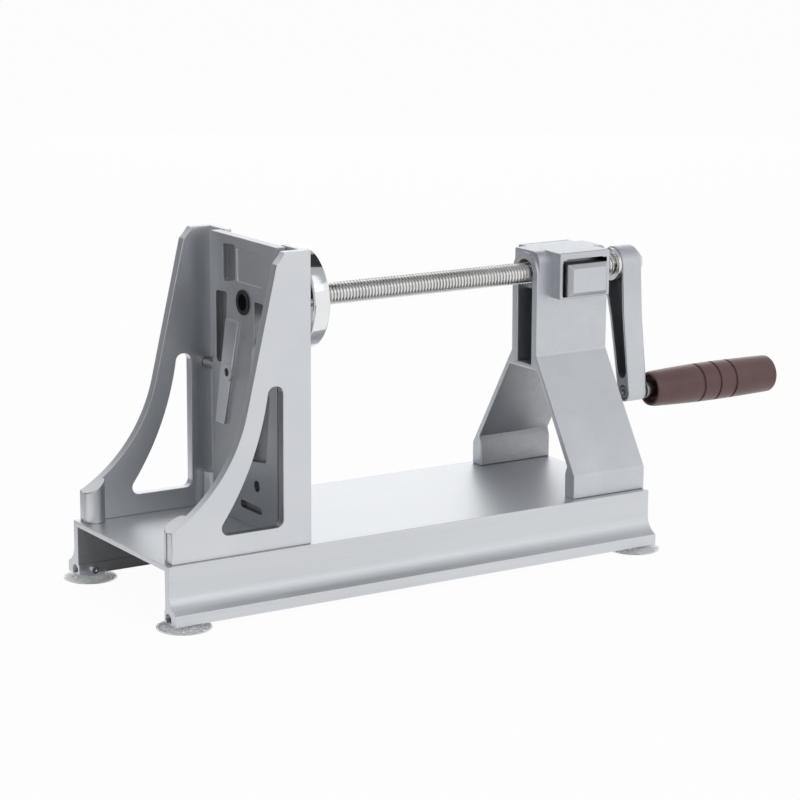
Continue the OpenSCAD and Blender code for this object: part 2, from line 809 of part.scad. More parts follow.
// The button: its head, its body about the screw and the collar that stops it
module release_button() {
    half = button_height / 2;
    body_y = head_seat - housing_face - cut;
    placed(aluminium) difference() {
        union() {
            button_head();
            translate([housing_mid - button_width / 2, body_y, axis_height - half])
                cube([button_width, block_end - body_y, button_height]);
            translate([housing_mid - button_width / 2, collar_front, axis_height - half - collar_step])
                cube([button_width, collar_length, button_height + 2 * collar_step]);
        }
        for (y = [0, -button_travel / 2])
            bar_x([channel_x - cut, y, axis_height], channel_width + 2 * cut, nut_radius + seat_fit);
        bar_y([housing_mid, spring_seat, axis_height], block_end - spring_seat + cut, spring_bore / 2);
    }
}

module half_nut() {
    placed(bronze) intersection() {
        difference() {
            bar_x([housing_mid - button_width / 2, 0, axis_height], button_width, nut_radius);
            bar_x([channel_x - cut, 0, axis_height], channel_width + 2 * cut, screw_radius + running_fit);
        }
        translate([channel_x, 1, axis_height - nut_radius - cut])
            cube([channel_width, nut_radius + cut, 2 * nut_radius + 2 * cut]);
    }
}

// Points along the spring's wire, and the tube about them
spring_rings = ceil(spring_turns * 8);
spring_sides = 6;
spring_rise = spring_length - spring_wire - 0.1;
spring_path = [for (i = [0 : spring_rings])
    let (turn = 360 * spring_turns * i / spring_rings)
    [spring_diameter / 2 * cos(turn), spring_diameter / 2 * sin(turn), spring_rise * i / spring_rings]];
spring_gaps = [for (i = [0 : spring_rings], j = [0 : spring_rings])
    if (j - i > 4) norm(spring_path[j] - spring_path[i]) - spring_wire];
echo(least_spring_gap = min(spring_gaps));

module spring_tube() {
    points = [for (i = [0 : spring_rings], k = [0 : spring_sides - 1])
        let (turn = 360 * spring_turns * i / spring_rings,
            lift = atan2(spring_rise, PI * spring_diameter * spring_turns),
            angle = 360 * k / spring_sides,
            out = [cos(turn), sin(turn), 0],
            side = [sin(turn) * sin(lift), -cos(turn) * sin(lift), cos(lift)])
        spring_path[i] + spring_wire / 2 * (cos(angle) * out + sin(angle) * side)];
    last = spring_rings * spring_sides;
    skin = [for (i = [0 : spring_rings - 1], k = [0 : spring_sides - 1])
        let (a = i * spring_sides + k, b = i * spring_sides + (k + 1) % spring_sides)
        each [[a, a + spring_sides, b], [b, a + spring_sides, b + spring_sides]]];
    ends = [for (k = [1 : spring_sides - 2])
        each [[0, k, k + 1], [last, last + k + 1, last + k]]];
    polyhedron(points, concat(skin, ends));
}

module button_spring() {
    placed(steel) translate([housing_mid, spring_seat + spring_wire / 2 + 0.05, axis_height])
        rotate([-90, 0, 0]) spring_tube();
}

module stop_washer() {
    placed(steel) difference() {
        bar_x([arm_x - washer_thickness, 0, axis_height], washer_thickness, hub_radius - hub_rim);
        bar_x([arm_x - washer_thickness - cut, 0, axis_height], washer_thickness + 2 * cut,
            screw_radius + running_fit);
    }
}

// The threaded bar with a spigot at each end, both drilled for a screw
module lead_screw() {
    placed(steel) difference() {
        union() {
            bar_x([disc_back, 0, axis_height], arm_x - disc_back, screw_radius);
            bar_x([disc_back - spigot_length, 0, axis_height], spigot_length + cut, spigot_diameter / 2);
            bar_x([arm_x - cut, 0, axis_height], arm_thickness - end_gap + cut, spigot_diameter / 2);
        }
        bar_x([disc_back - spigot_length - cut, 0, axis_height], end_bore + cut,
            disc_screw_size[0] / 2 + seat_fit);
        bar_x([arm_back - end_gap - end_bore, 0, axis_height], end_bore + cut,
            crank_screw_size[0] / 2 + seat_fit);
    }
}

module pusher_disc() {
    radius = disc_diameter / 2;
    placed(chrome) difference() {
        translate([disc_x, 0, axis_height]) rotate([0, 90, 0]) rotate_extrude() polygon([
            [0, 0], [radius - disc_edge, 0], [radius, disc_edge], [radius, disc_thickness - disc_edge],
            [radius - disc_edge, disc_thickness], [0, disc_thickness]
        ]);
        bar_x([disc_back - spigot_length, 0, axis_height], spigot_length + cut,
            spigot_diameter / 2 + seat_fit);
        bar_x([disc_x - cut, 0, axis_height], disc_thickness, disc_screw_size[0] / 2 + seat_fit);
        for (i = [0 : prong_count - 1])
            rotate_about_axis(360 / prong_count * i)
                bar_x([disc_x - cut, prong_circle, 0], prong_seat + cut, prong_diameter / 2 + seat_fit);
    }
}

// Turns a piece drawn about the x axis, then lifts it to the screw's axis
module rotate_about_axis(angle) {
    translate([0, 0, axis_height]) rotate([angle, 0, 0]) children();
}

module pusher_prongs() {
    placed(steel) for (i = [0 : prong_count - 1]) rotate_about_axis(360 / prong_count * i) {
        bar_x([disc_x - prong_length + prong_point, prong_circle, 0],
            prong_length - prong_point + prong_seat - pin_gap, prong_diameter / 2);
        translate([disc_x - prong_length, prong_circle, 0]) rotate([0, 90, 0])
            cylinder(h = prong_point, r1 = prong_tip, r2 = prong_diameter / 2);
    }
}

module disc_screw() {
    placed(steel) translate([disc_x, 0, axis_height]) rotate([0, 90, 0])
        screw(disc_screw_size, disc_skin + end_bore - end_gap);
}

// A round hub and a round tip whose straight flanks meet at the waist, with the tip along -z
module arm_shape(hub, waist, tip, length, start, end) {
    upper = asin((hub - waist) / waist_drop);
    lower = asin((waist - tip) / (length - waist_drop));
    top = hub - tangent_sink;
    low = tip - tangent_sink;
    flank = [
        [top * cos(upper), -top * sin(upper)],
        [waist, -waist_drop],
        [low * cos(lower), -length - low * sin(lower)]
    ];
    union() {
        bar_x([start, 0, 0], end - start, hub);
        bar_x([start, 0, -length], end - start, tip);
        translate([start, 0, 0]) rotate([90, 0, 90]) linear_extrude(end - start)
            polygon(concat(flank, [for (i = [2 : -1 : 0]) [-flank[i][0], flank[i][1]]]));
    }
}

// Children are drawn about the arm's hub with the arm straight down
module leaned() {
    translate([arm_x, 0, axis_height]) rotate([-crank_lean, 0, 0]) children();
}

module crank_arm() {
    placed(aluminium) leaned() difference() {
        arm_shape(hub_radius, waist_radius, tip_radius, crank_radius, 0, arm_thickness);
        difference() {
            arm_shape(hub_radius - arm_rim, waist_radius - arm_rim, pocket_tip, pocket_length,
                -cut, arm_hollow);
            bar_x([-2 * cut, 0, 0], arm_hollow + 3 * cut, hub_radius - hub_rim);
        }
        bar_x([-cut, 0, 0], arm_thickness + 2 * cut, spigot_diameter / 2 + seat_fit);
        bar_x([-cut, 0, -crank_radius], arm_thickness + 2 * cut, axle_thread + seat_fit);
        bar_x([-cut, 0, -crank_radius], nut_sunk + nut_height + cut, axle_nut_radius + nut_room);
    }
}

module crank_washer() {
    placed(steel) difference() {
        bar_x([arm_back, 0, axis_height], crank_washer_thickness, hub_radius - crank_washer_step);
        bar_x([arm_back - cut, 0, axis_height], crank_washer_thickness + 2 * cut,
            crank_screw_size[0] / 2 + seat_fit);
    }
}

module crank_screw() {
    placed(steel) translate([arm_back + crank_washer_thickness, 0, axis_height]) rotate([0, -90, 0])
        screw(crank_screw_size, crank_washer_thickness + end_bore);
}

// The pin that the grip turns on: thread, collar, shank and head
module grip_axle() {
    placed(steel) {
        bar_x([arm_x + 1, grip_y, grip_z], arm_thickness - 1, axle_thread);
        bar_x([arm_back, grip_y, grip_z], grip_gap + grip_hollow - head_gap, axle_collar);
        bar_x([arm_back, grip_y, grip_z], axle_head_x - arm_back, axle_radius);
        bar_x([axle_head_x, grip_y, grip_z], axle_head, axle_head_radius);
    }
}

module axle_nut() {
    placed(steel) difference() {
        translate([arm_x + nut_sunk, grip_y, grip_z]) rotate([0, 90, 0])
            cylinder(h = nut_height, r = axle_nut_radius, $fn = 6);
        bar_x([arm_x, grip_y, grip_z], arm_thickness, axle_thread + seat_fit);
    }
}

// Radius of the grip along its length: a gentle barrel
function barrel(t) = t < 0.5
    ? grip_root / 2 + (grip_diameter - grip_root) / 2 * sin(180 * t)
    : grip_end / 2 + (grip_diameter - grip_end) / 2 * sin(180 * t);

module grip() {
    steps = 16;
    round_end = 2;
    root_edge = 1;
    body = grip_length - round_end;
    end_radius = barrel(body / grip_length);
    groove_depth = 0.9;
    skin = concat(
        [[0, 0], [grip_root / 2 - root_edge, 0]],
        [for (i = [0 : steps])
            let (at = root_edge + (body - root_edge) * i / steps) [barrel(at / grip_length), at]],
        [for (a = [15 : 15 : 90]) [end_radius - round_end * (1 - cos(a)), body + round_end * sin(a)]],
        [[0, grip_length]]
    );
    placed(brown) translate([grip_x, grip_y, grip_z]) rotate([0, 90, 0]) difference() {
        rotate_extrude() difference() {
            polygon(skin);
            for (i = [0 : groove_count - 1])
                let (at = grip_length / 2 + groove_shift + (i - (groove_count - 1) / 2) * groove_step)
                    translate([barrel(at / grip_length) - groove_depth, at - groove_width / 2])
                        square([groove_depth + cut, groove_width]);
        }
        translate([0, 0, -cut]) cylinder(h = grip_length, r = axle_radius + running_fit);
        translate([0, 0, -cut]) cylinder(h = grip_hollow + cut, r = grip_root / 2 - grip_wall);
        translate([0, 0, axle_head_x - grip_x - head_gap])
            cylinder(h = grip_length, r = cap_radius + seat_fit);
    }
}

module grip_cap() {
    placed(brown) translate([cap_floor, grip_y, grip_z]) rotate([0, 90, 0]) rotate_extrude() polygon([
        [0, 0], [cap_radius, 0], [cap_radius, grip_tip - cap_floor - 0.8],
        [cap_radius - 0.8, grip_tip - cap_floor], [0, grip_tip - cap_floor]
    ]);
}

// A cup with the bulb that slides in the rail's slot
module suction_cup(x, side) {
    hub = 5;
    hub_drop = 0.4;
    lip = 0.5;
    neck = slot_diameter / 2 - 1.1;
    rim = cup_diameter / 2;
    placed(clear_grey) translate([x, side * slot_y, -base_height]) {
        rotate_extrude() polygon([
            [0, 0], [hub, 0], [hub + hub_drop, -hub_drop], [rim, -cup_height + lip], [rim, -cup_height],
            [rim - cup_skirt, -cup_height], [hub, -hub_drop - cup_skirt], [0, -hub_drop - cup_skirt]
        ]);
        cylinder(h = slot_rise, r = neck);
        translate([0, 0, slot_rise]) sphere(r = slot_diameter / 2 - 0.2);
    }
}

module cup_blade_near() {
    suction_cup(cup_places[0], -1);
}

module cup_blade_far() {
    suction_cup(cup_places[0], 1);
}

module cup_crank_near() {
    suction_cup(cup_places[1], -1);
}

module cup_crank_far() {
    suction_cup(cup_places[1], 1);
}

module cup_lock_screws() {
    placed(steel) for (x = cup_places) for (side = [-1, 1])
        translate([x, side * foot_inner, slot_z]) rotate([-90 * side, 0, 0])
            screw(lock_screw, slot_wall + 0.1);
}

base_rail();
near_bracket();
far_bracket();
bracket_screws();
blade_plate();
plate_pins();
plate_screws();
core_tube();
slicing_blade();
blade_screws();
tailstock();
tailstock_screws();
front_bush();
rear_bush();
spring_cover();
cover_screws();
release_button();
half_nut();
button_spring();
stop_washer();
lead_screw();
pusher_disc();
pusher_prongs();
disc_screw();
crank_arm();
crank_washer();
crank_screw();
grip_axle();
axle_nut();
grip();
grip_cap();
cup_blade_near();
cup_blade_far();
cup_crank_near();
cup_crank_far();
cup_lock_screws();
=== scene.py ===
"""Looks of the hand cranked spiral slicer, built around its CAD frame, in metres."""
import json
import math

import bmesh
import bpy
from mathutils import Matrix, Vector

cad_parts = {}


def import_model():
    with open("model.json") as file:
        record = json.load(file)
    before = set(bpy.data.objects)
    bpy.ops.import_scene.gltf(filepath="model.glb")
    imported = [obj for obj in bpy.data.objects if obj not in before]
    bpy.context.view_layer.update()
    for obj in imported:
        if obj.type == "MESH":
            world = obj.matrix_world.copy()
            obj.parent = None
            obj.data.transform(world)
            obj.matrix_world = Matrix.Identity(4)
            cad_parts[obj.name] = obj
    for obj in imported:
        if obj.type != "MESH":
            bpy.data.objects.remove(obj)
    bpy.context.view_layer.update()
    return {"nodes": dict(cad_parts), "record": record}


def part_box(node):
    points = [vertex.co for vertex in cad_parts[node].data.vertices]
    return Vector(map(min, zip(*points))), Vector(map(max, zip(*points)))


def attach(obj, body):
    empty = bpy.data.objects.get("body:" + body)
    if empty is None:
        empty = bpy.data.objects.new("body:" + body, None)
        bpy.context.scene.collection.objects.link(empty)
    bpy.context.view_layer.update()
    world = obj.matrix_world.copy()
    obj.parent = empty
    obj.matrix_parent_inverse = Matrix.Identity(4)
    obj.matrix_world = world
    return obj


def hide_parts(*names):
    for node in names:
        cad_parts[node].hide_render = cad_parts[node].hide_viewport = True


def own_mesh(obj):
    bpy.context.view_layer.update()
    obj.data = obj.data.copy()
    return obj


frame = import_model()
behaviour = frame["record"]["behaviour"]
body_of_node = {node: body for body, nodes in behaviour["bodies"].items() for node in nodes}
slot_of_node = {part["node"]: part["material_slot"] for part in frame["record"]["subparts"]}
MM = 0.001


# Materials

# Most of a noise texture's values lie in this range
NOISE_SPAN = (0.3, 0.7)


class Look:
    """A material with one principled shader and a few short ways to add texture nodes."""

    def __init__(self, name, base, metallic, roughness):
        self.material = bpy.data.materials.new(name)
        self.material.use_nodes = True
        self.tree = self.material.node_tree
        self.shader = self.tree.nodes["Principled BSDF"]
        self.shader.inputs["Base Color"].default_value = (*base, 1)
        self.shader.inputs["Metallic"].default_value = metallic
        self.shader.inputs["Roughness"].default_value = roughness
        self.place = self.tree.nodes.new("ShaderNodeTexCoord").outputs["Object"]

    def link(self, output, target):
        self.tree.links.new(output, target)

    def stretched(self, scale):
        """Object coordinates stretched along the axes."""
        mapping = self.tree.nodes.new("ShaderNodeMapping")
        mapping.inputs["Scale"].default_value = scale
        self.link(self.place, mapping.inputs["Vector"])
        return mapping.outputs["Vector"]

    def noise(self, scale, detail, stretch=None):
        """A noise over the object, drawn out along the axes where a stretch is given."""
        node = self.tree.nodes.new("ShaderNodeTexNoise")
        node.inputs["Scale"].default_value = scale
        node.inputs["Detail"].default_value = detail
        self.link(self.stretched(stretch) if stretch else self.place, node.inputs["Vector"])
        return node.outputs["Fac"]

    def ranged(self, value, source, target):
        """A value moved from one range to another."""
        node = self.tree.nodes.new("ShaderNodeMapRange")
        for end, start, result in zip(("Min", "Max"), source, target):
            node.inputs["From " + end].default_value = start
            node.inputs["To " + end].default_value = result
        self.link(value, node.inputs["Value"])
        return node.outputs["Result"]

    def height(self, low, high):
        """Runs from 0 to 1 between two heights of the object."""
        split = self.tree.nodes.new("ShaderNodeSeparateXYZ")
        self.link(self.place, split.inputs["Vector"])
        return self.ranged(split.outputs["Z"], (low, high), (0, 1))

    def colours(self, factor, low, high, span=NOISE_SPAN):
        """Base colour that runs from low to high with a factor."""
        ramp = self.tree.nodes.new("ShaderNodeValToRGB")
        for element, at, colour in zip(ramp.color_ramp.elements, span, (low, high)):
            element.position = at
            element.color = (*colour, 1)
        self.link(factor, ramp.inputs["Fac"])
        self.link(ramp.outputs["Color"], self.shader.inputs["Base Color"])

    def gloss(self, noise, low, high):
        """Roughness that runs from low to high with a noise."""
        self.link(self.ranged(noise, NOISE_SPAN, (low, high)), self.shader.inputs["Roughness"])

    def bumps(self, *layers):
        """Bump layers, each a height, a strength and a depth in metres."""
        normal = None
        for height, strength, depth in layers:
            node = self.tree.nodes.new("ShaderNodeBump")
            node.inputs["Strength"].default_value = strength
            node.inputs["Distance"].default_value = depth
            self.link(height, node.inputs["Height"])
            if normal:
                self.link(normal, node.inputs["Normal"])
            normal = node.outputs["Normal"]
        self.link(normal, self.shader.inputs["Normal"])


def blasted_aluminium():
    look = Look("blasted_aluminium", base=(0.66, 0.68, 0.71), metallic=1.0, roughness=0.4)
    cloud = look.noise(scale=22, detail=4)
    grain = look.noise(scale=2400, detail=2)
    look.colours(cloud, (0.63, 0.65, 0.685), (0.69, 0.705, 0.73))
    look.gloss(grain, low=0.33, high=0.47)
    look.bumps((grain, 0.16, 0.06 * MM))
    return look.material


def extruded_aluminium():
    look = Look("extruded_aluminium", base=(0.68, 0.70, 0.73), metallic=1.0, roughness=0.36)
    drawn = look.noise(scale=1.0, detail=3, stretch=(6, 900, 900))
    grain = look.noise(scale=2600, detail=2)
    look.colours(drawn, (0.625, 0.645, 0.675), (0.66, 0.675, 0.70))
    look.gloss(grain, low=0.36, high=0.47)
    look.bumps((drawn, 0.05, 0.04 * MM), (grain, 0.12, 0.05 * MM))
    return look.material


def cast_skin(look):
    """The gloss and the bumps of a casting."""
    skin = look.noise(scale=620, detail=4)
    grain = look.noise(scale=2200, detail=2)
    look.gloss(skin, low=0.37, high=0.52)
    look.bumps((skin, 0.2, 0.12 * MM), (grain, 0.16, 0.06 * MM))


def cast_aluminium(name, dark, light):
    look = Look(name, base=dark, metallic=1.0, roughness=0.44)
    cloud = look.noise(scale=30, detail=4)
    look.colours(cloud, dark, light)
    cast_skin(look)
    return look.material


# Painted shade on the blade plate: full below the first height, fading out up to the second
PLATE_SHADE_FULL_BELOW = 60 * MM
PLATE_SHADE_GONE_ABOVE = 160 * MM


def plate_casting_with_painted_shade():
    """The blade plate's casting, with painted shade that darkens it towards the deck."""
    look = Look("plate_casting_with_painted_shade", base=(0.50, 0.515, 0.55), metallic=1.0, roughness=0.44)
    rise = look.height(PLATE_SHADE_FULL_BELOW, PLATE_SHADE_GONE_ABOVE)
    look.colours(rise, (0.38, 0.395, 0.42), (0.63, 0.645, 0.68), span=(0, 1))
    cast_skin(look)
    return look.material


def turned_steel(name, dark, light):
    look = Look(name, base=dark, metallic=1.0, roughness=0.2)
    turning = look.noise(scale=1.0, detail=2, stretch=(2200, 60, 60))
    smear = look.noise(scale=90, detail=3)
    look.colours(smear, dark, light)
    look.gloss(turning, low=0.14, high=0.28)
    look.bumps((turning, 0.08, 0.04 * MM))
    return look.material


def blade_steel():
    look = Look("blade_steel", base=(0.72, 0.73, 0.74), metallic=1.0, roughness=0.2)
    ground = look.noise(scale=1.0, detail=2, stretch=(60, 60, 1800))
    look.colours(ground, (0.66, 0.67, 0.685), (0.77, 0.775, 0.78))
    look.gloss(ground, low=0.13, high=0.27)
    look.bumps((ground, 0.08, 0.03 * MM))
    return look.material


def polished_chrome():
    look = Look("polished_chrome", base=(0.80, 0.81, 0.82), metallic=1.0, roughness=0.09)
    haze = look.noise(scale=45, detail=3)
    turning = look.noise(scale=1.0, detail=2, stretch=(1500, 30, 30))
    look.colours(haze, (0.76, 0.77, 0.785), (0.84, 0.845, 0.85))
    look.gloss(haze, low=0.05, high=0.14)
    look.bumps((turning, 0.04, 0.02 * MM))
    return look.material


def turned_bronze():
    look = Look("turned_bronze", base=(0.52, 0.36, 0.16), metallic=1.0, roughness=0.3)
    turning = look.noise(scale=1.0, detail=2, stretch=(1600, 40, 40))
    look.colours(turning, (0.46, 0.31, 0.13), (0.58, 0.41, 0.19))
    look.gloss(turning, low=0.22, high=0.38)
    look.bumps((turning, 0.1, 0.04 * MM))
    return look.material


def black_plastic():
    look = Look("black_plastic", base=(0.012, 0.012, 0.013), metallic=0.0, roughness=0.42)
    grain = look.noise(scale=1500, detail=3)
    look.colours(grain, (0.010, 0.010, 0.011), (0.018, 0.018, 0.019))
    look.gloss(grain, low=0.34, high=0.5)
    look.bumps((grain, 0.15, 0.05 * MM))
    return look.material


def brown_grip():
    look = Look("brown_grip", base=(0.15, 0.074, 0.07), metallic=0.0, roughness=0.36)
    cloud = look.noise(scale=70, detail=4)
    grain = look.noise(scale=1700, detail=2)
    look.colours(cloud, (0.136, 0.066, 0.062), (0.165, 0.083, 0.078))
    look.gloss(grain, low=0.30, high=0.40)
    look.bumps((cloud, 0.05, 0.08 * MM), (grain, 0.08, 0.03 * MM))
    return look.material


def clear_rubber():
    look = Look("clear_rubber", base=(0.80, 0.82, 0.83), metallic=0.0, roughness=0.3)
    cloud = look.noise(scale=60, detail=3)
    look.colours(cloud, (0.77, 0.79, 0.80), (0.83, 0.85, 0.86))
    look.gloss(cloud, low=0.24, high=0.34)
    look.shader.inputs["Transmission Weight"].default_value = 0.7
    look.shader.inputs["IOR"].default_value = 1.43
    look.bumps((cloud, 0.03, 0.05 * MM))
    return look.material


looks = {
    "blasted": blasted_aluminium(),
    "extruded": extruded_aluminium(),
    "cast": cast_aluminium("cast_aluminium", (0.545, 0.565, 0.60), (0.605, 0.625, 0.655)),
    "plate": plate_casting_with_painted_shade(),
    # Darker copies of the cast aluminium, painted shade for recesses and the inside of the legs: a lighter
    # one and a deeper one
    "inside": cast_aluminium("casting_painted_shade", (0.36, 0.37, 0.39), (0.42, 0.43, 0.45)),
    "painted_deep_shade": cast_aluminium("casting_painted_deep_shade", (0.26, 0.265, 0.28), (0.33, 0.335, 0.35)),
    "steel": turned_steel("turned_steel", (0.71, 0.705, 0.695), (0.81, 0.80, 0.79)),
    "dark_steel": turned_steel("dark_steel", (0.30, 0.295, 0.29), (0.38, 0.37, 0.36)),
    "blade": blade_steel(),
    "chrome": polished_chrome(),
    "bronze": turned_bronze(),
    "black": black_plastic(),
    "brown": brown_grip(),
    "rubber": clear_rubber(),
}
look_of_slot = {
    "satin_aluminium": "blasted",
    "cast_aluminium": "cast",
    "steel": "steel",
    "chrome": "chrome",
    "bronze": "bronze",
    "black_plastic": "black",
    "brown_plastic": "brown",
    "clear_rubber": "rubber",
}
look_of_node = {node: look_of_slot[slot] for node, slot in slot_of_node.items()}
look_of_node.update({
    "base_rail": "extruded",
    "blade_plate": "plate",
    "crank_arm": "cast",
    "release_button": "cast",
    "slicing_blade": "blade",
    "bracket_screws": "blade",
    "plate_pins": "dark_steel",
    "front_bush": "dark_steel",
    "grip_axle": "dark_steel",
})


def paint(piece, look):
    piece.data.materials.clear()
    piece.data.materials.append(looks[look])


for node_name, node_object in frame["nodes"].items():
    paint(node_object, look_of_node[node_name])


# Mesh helpers

# Points that lie closer than these become one
WELD = 0.002 * MM
TURNED_WELD = 0.001 * MM
ROUND_WELD = 0.05 * MM

TOUCH = 0.01 * MM
FLAT = math.radians(0.2)
BENT = math.radians(2)
SHARP = math.radians(24)
SMOOTH = math.radians(40)
EASE_SEGMENTS = 2


def middle_of(node):
    """The middle of a CAD node's box."""
    low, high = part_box(node)
    return (low + high) / 2


def edge_middle(edge):
    return (edge.verts[0].co + edge.verts[1].co) / 2


def piece_from(work, name):
    """A new object from a bmesh, which is freed."""
    mesh = bpy.data.meshes.new(name)
    bmesh.ops.recalc_face_normals(work, faces=work.faces)
    work.to_mesh(mesh)
    work.free()
    piece = bpy.data.objects.new(name, mesh)
    bpy.context.scene.collection.objects.link(piece)
    return piece


def smooth_by_angle(mesh, angle):
    """Smooth faces, with edges over an angle left sharp."""
    work = bmesh.new()
    work.from_mesh(mesh)
    for face in work.faces:
        face.smooth = True
    for edge in work.edges:
        edge.smooth = len(edge.link_faces) == 2 and edge.calc_face_angle(0.0) < angle
    work.to_mesh(mesh)
    work.free()


def apply_modifiers(piece):
    """Bakes a piece's modifiers into its mesh."""
    graph = bpy.context.evaluated_depsgraph_get()
    mesh = bpy.data.meshes.new_from_object(piece.evaluated_get(graph))
    piece.modifiers.clear()
    piece.data = mesh


def split_faces(mesh):
    """Splits the bent and concave faces that a bevel leaves."""
    work = bmesh.new()
    work.from_mesh(mesh)
    bmesh.ops.connect_verts_nonplanar(work, faces=work.faces, angle_limit=BENT)
    bmesh.ops.connect_verts_concave(work, faces=work.faces)
    work.to_mesh(mesh)
    work.free()


def stands_for(piece, node):
    """The piece shows in place of a CAD node and moves with its body."""
    paint(piece, look_of_node[node])
    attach(piece, body_of_node[node])
    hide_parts(node)
    return piece


def cad_copy(node):
    """A bmesh with a CAD node's shape, its flat faces joined."""
    source = frame["nodes"][node].data
    work = bmesh.new()
    points = [work.verts.new(vertex.co) for vertex in source.vertices]
    for polygon in source.polygons:
        work.faces.new([points[i] for i in polygon.vertices])
    bmesh.ops.remove_doubles(work, verts=work.verts, dist=WELD)
    bmesh.ops.dissolve_limit(work, angle_limit=FLAT, verts=work.verts, edges=work.edges)
    return work


def round_edges(work, wanted, width, segments):
    """A larger round on the edges that a test picks."""
    edges = [edge for edge in work.edges if wanted(edge)]
    bmesh.ops.bevel(work, geom=edges, offset=width, offset_type="OFFSET", segments=segments, profile=0.5,
                    affect="EDGES", clamp_overlap=False)
    bmesh.ops.remove_doubles(work, verts=work.verts, dist=ROUND_WELD)
    bmesh.ops.dissolve_degenerate(work, edges=work.edges, dist=ROUND_WELD)


def eased(node, width, work=None):
    """A CAD node's shape with its sharp edges eased by a small round."""
    piece = piece_from(work or cad_copy(node), node + "_eased")
    bevel = piece.modifiers.new("ease", "BEVEL")
    bevel.width = width
    bevel.segments = EASE_SEGMENTS
    bevel.limit_method = "ANGLE"
    bevel.angle_limit = SHARP
    bevel.use_clamp_overlap = False
    bevel.miter_outer = "MITER_ARC"
    apply_modifiers(piece)
    split_faces(piece.data)
    smooth_by_angle(piece.data, SMOOTH)
    weighted = piece.modifiers.new("normals", "WEIGHTED_NORMAL")
    weighted.keep_sharp = True
    apply_modifiers(piece)
    return stands_for(piece, node)


# Share of a normal along an axis: above FACING a face looks along it, below SQUARE it stands beside it
FACING = 0.9
HALF_FACING = 0.5
SQUARE = 0.3


def look_inside(piece, look, inside):
    """Gives another look to the faces that a test picks by their centre and normal."""
    piece.data.materials.append(looks[look])
    for polygon in piece.data.polygons:
        if inside(polygon.center, polygon.normal):
            polygon.material_index = len(piece.data.materials) - 1


# Castings and extrusions with eased edges

# Width of the round in millimetres
EASED = {
    "base_rail": 0.35,
    "near_bracket": 0.5,
    "far_bracket": 0.5,
    "blade_plate": 0.45,
    "spring_cover": 0.5,
    "core_tube": 0.15,
    "grip_cap": 0.2,
    "stop_washer": 0.2,
    "front_bush": 0.15,
}
eased_pieces = {node_name: eased(node_name, ease * MM) for node_name, ease in EASED.items()}

# Sizes of the button's housing and its mouth; faces deeper than the rim, in the mouth and on the button,
# get painted shade
BUTTON_PROUD = 5 * MM
MOUTH_DEPTH = 10.5 * MM
MOUTH_ROOM = 1.6 * MM
MOUTH_SLACK = 0.1 * MM
RIM_LIGHT = 0.6 * MM
button_low, button_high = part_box("release_button")


def by_button(point):
    """Whether a point lies within the mouth's width about the button."""
    return (button_low.x - MOUTH_ROOM < point.x < button_high.x + MOUTH_ROOM
            and button_low.z - MOUTH_ROOM < point.z < button_high.z + MOUTH_ROOM)


def housing_depth(point):
    """How far a point lies behind the front of the button's housing."""
    return point.y - button_low.y - BUTTON_PROUD


def in_mouth(point, normal):
    """Whether a face belongs to the mouth of the button's housing."""
    depth = housing_depth(point)
    wall = abs(normal.y) < HALF_FACING and RIM_LIGHT < depth < MOUTH_DEPTH
    floor_face = abs(depth - MOUTH_DEPTH) < MOUTH_SLACK
    return by_button(point) and (wall or floor_face)


def in_housing(point, normal):
    """Whether a face of the button lies behind the front of its housing."""
    return housing_depth(point) > RIM_LIGHT


BUTTON_EASE = 0.3 * MM
HOLE_REACH = 9.05 * MM
HOLE_ROOM = 0.3 * MM


def roomy_button():
    """The release button, whose hole leaves the screw some room when the button is pressed."""
    axis = middle_of("lead_screw")
    work = cad_copy("release_button")
    for vertex in work.verts:
        across = (vertex.co - axis).yz
        if across.length < HOLE_REACH and across.x < 0:
            vertex.co.y += HOLE_ROOM * across.x / HOLE_REACH
    # The button's faces behind the housing's front get the deeper painted shade
    look_inside(eased("release_button", BUTTON_EASE, work=work), "painted_deep_shade", in_housing)


SPRING_SMOOTH = math.radians(80)


def button_spring():
    """The spring, smooth shaded, with a mesh of its own; the real spring shortens towards its cover as the
    button is pressed.
    """
    piece = piece_from(cad_copy("button_spring"), "button_spring_coil")
    smooth_by_angle(piece.data, SPRING_SMOOTH)
    stands_for(piece, "button_spring")
    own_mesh(piece)


TAIL_ROUND = 0.9 * MM
TAIL_SEGMENTS = 4
TAIL_EASE = 0.3 * MM
LARGE_FACE = 120 * MM * MM
LONG_EDGE = 6 * MM
KNEE_LENGTH = 40 * MM
KNEE_LEVEL = 100 * MM
ARCH_TOP = 104 * MM
LEG_FACING = 0.4


def in_arch(point, normal):
    """Whether a face is on the inside of the tailstock's legs."""
    inward = normal.y * point.y < 0 and abs(normal.y) > LEG_FACING
    return point.z < ARCH_TOP and inward and abs(normal.x) < SQUARE


def rounded_tailstock():
    """The tailstock with wider rounds on the long edges between its large faces, and painted shade in the
    button's mouth and on the inside of its legs.
    """
    def outer(edge):
        if len(edge.link_faces) != 2 or edge.calc_length() < LONG_EDGE:
            return False
        centre = edge_middle(edge)
        if by_button(centre):
            return False
        large = all(face.calc_area() > LARGE_FACE for face in edge.link_faces)
        angle = edge.calc_face_angle_signed(0.0)
        knee = angle < -SHARP and edge.calc_length() > KNEE_LENGTH and centre.z > KNEE_LEVEL
        return large and (knee or angle > SHARP)

    work = cad_copy("tailstock")
    round_edges(work, outer, TAIL_ROUND, TAIL_SEGMENTS)
    piece = eased("tailstock", TAIL_EASE, work=work)
    # Painted shade: the deeper one on the walls and floor of the button's mouth, the lighter one on the
    # inside of the legs
    look_inside(piece, "painted_deep_shade", in_mouth)
    look_inside(piece, "inside", in_arch)


roomy_button()
button_spring()
rounded_tailstock()


# Blade plate's pockets and rib, and the near bracket's window

